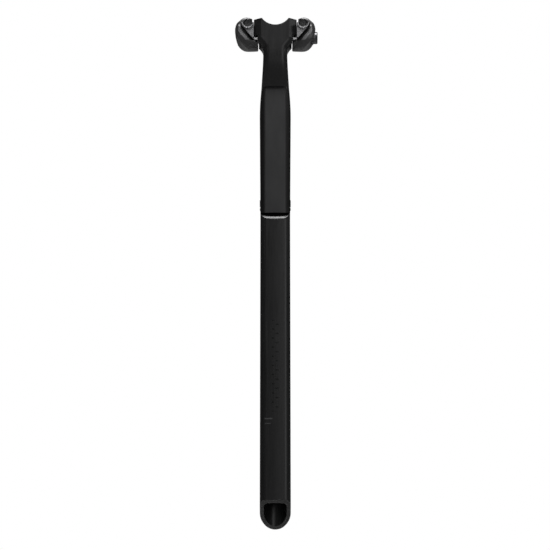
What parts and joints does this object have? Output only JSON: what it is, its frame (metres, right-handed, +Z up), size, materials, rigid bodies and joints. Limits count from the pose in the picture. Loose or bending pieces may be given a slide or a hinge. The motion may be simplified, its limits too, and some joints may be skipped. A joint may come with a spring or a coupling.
{
  "type": "bicycle seatpost",
  "caption": "Carbon bicycle seatpost with a D-shaped hollow shaft, a rubber flex insert behind a set-back neck, and side jaws on a cross bolt that grip the saddle rails.",
  "frame": {"origin": "on the shaft's axis, level with the tip of its slanted tail, where the frame's seat tube grips the shaft", "axes": "+Z up along the shaft, +Y to the front of the bicycle, +X to the side with the clamp bolt's head"},
  "size_m": [0.0659, 0.0382, 0.4008],
  "materials": {
    "carbon": "matte black moulded carbon composite",
    "elastomer": "dark grey matt elastomer",
    "barrel_metal": "bare turned aluminium",
    "cradle_metal": "grey anodised, satin",
    "jaw_metal": "black anodised forging, satin",
    "bolt_steel": "blackened steel"
  },
  "bodies": {
    "post": {"post": "carbon", "flex_insert": "elastomer", "cross_barrel": "barrel_metal"},
    "clamp": {"left_cradle": "cradle_metal", "right_cradle": "cradle_metal"},
    "left_jaw": {"left_jaw": "jaw_metal"},
    "right_jaw": {"right_jaw": "jaw_metal", "bolt_washer": "bolt_steel"},
    "bolt": {"clamp_bolt": "bolt_steel"}
  },
  "joints": [
    {"name": "clamp_tilt", "type": "hinge", "parent": "post", "child": "clamp", "pos_m": [0, -0.012, 0.3866], "axis": [1, 0, 0], "range_deg": [-15, 15]},
    {"name": "right_jaw_open", "type": "slide", "parent": "clamp", "child": "right_jaw", "axis": [1, 0, 0], "range_m": [0, 0.002]},
    {"name": "left_jaw_open", "type": "slide", "parent": "clamp", "child": "left_jaw", "axis": [-1, 0, 0], "range_m": [0, 0.002]},
    {"name": "bolt_turn", "type": "hinge", "parent": "right_jaw", "child": "bolt", "pos_m": [0, -0.012, 0.3866], "axis": [1, 0, 0], "range_deg": [0, 1440]}
  ],
  "couplings": [
    {"joint": "left_jaw_open", "follows": "right_jaw_open", "ratio": 1},
    {"joint": "bolt_turn", "follows": "right_jaw_open", "rad_per_m": 12566}
  ]
}
